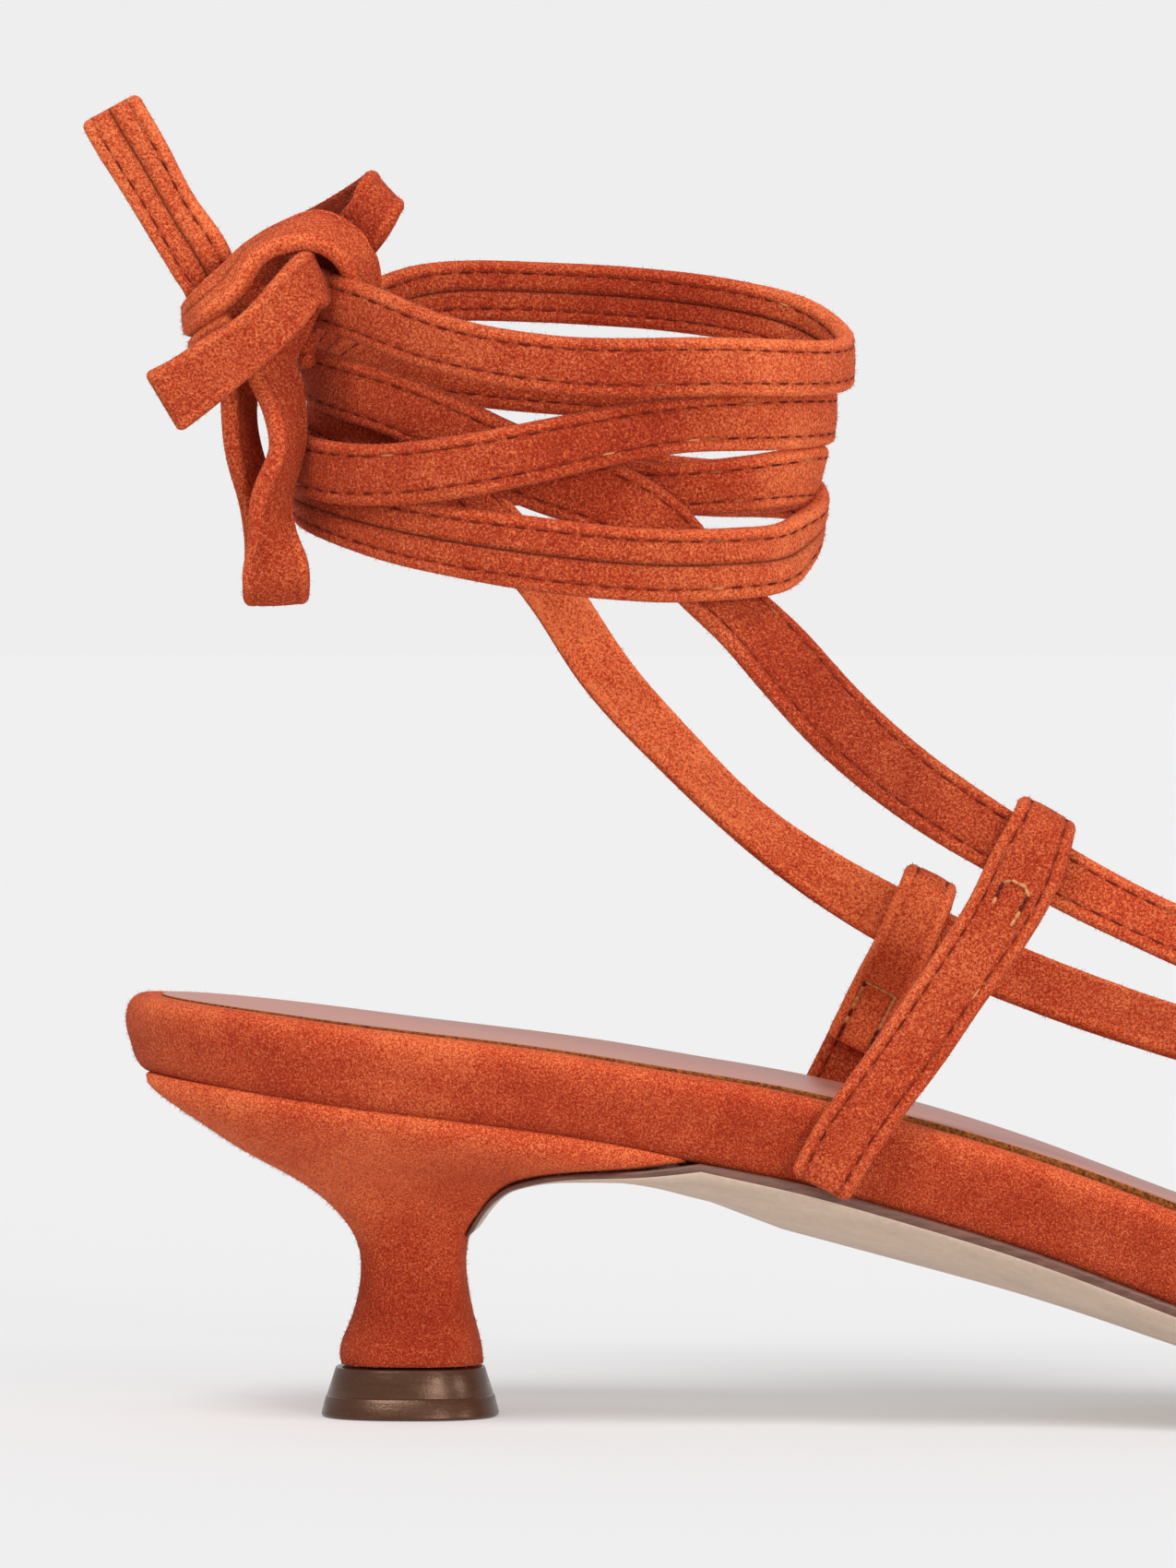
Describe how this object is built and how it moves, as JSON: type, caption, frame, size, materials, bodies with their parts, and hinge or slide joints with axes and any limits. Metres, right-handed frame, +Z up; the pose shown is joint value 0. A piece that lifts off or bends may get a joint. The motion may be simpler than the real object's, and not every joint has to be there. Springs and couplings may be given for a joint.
{
  "type": "kitten heel sandal",
  "caption": "Low kitten heel sandal with a suede covered footbed, side keepers and a long suede tie that runs from the toe, winds round the ankle and ends in a bow.",
  "frame": {"origin": "on the floor, under the middle of the sandal's box", "axes": "+X from the heel to the toe, +Y to the lateral (outer) side, +Z up"},
  "size_m": [0.2485, 0.0757, 0.1494],
  "materials": {
    "suede": "orange suede with a short matte nap",
    "tie_suede": "orange suede strap, turned in at the edges and stitched along both",
    "sock_leather": "smooth rose brown leather with a low sheen and a raw cut edge",
    "sole_leather": "pale satin sole leather with a dark painted edge",
    "tip_rubber": "brown satin rubber"
  },
  "bodies": {
    "root": {"footbed": "suede", "insole": "sock_leather", "outsole": "sole_leather", "heel": "suede", "top_piece": "tip_rubber", "keeper_medial": "suede", "keeper_lateral": "suede", "ankle_tie": "tie_suede", "bow_knot": "tie_suede", "bow_loop_upper": "tie_suede", "bow_loop_lower": "tie_suede", "bow_end_upper": "tie_suede", "bow_end_lower": "tie_suede"}
  },
  "joints": []
}
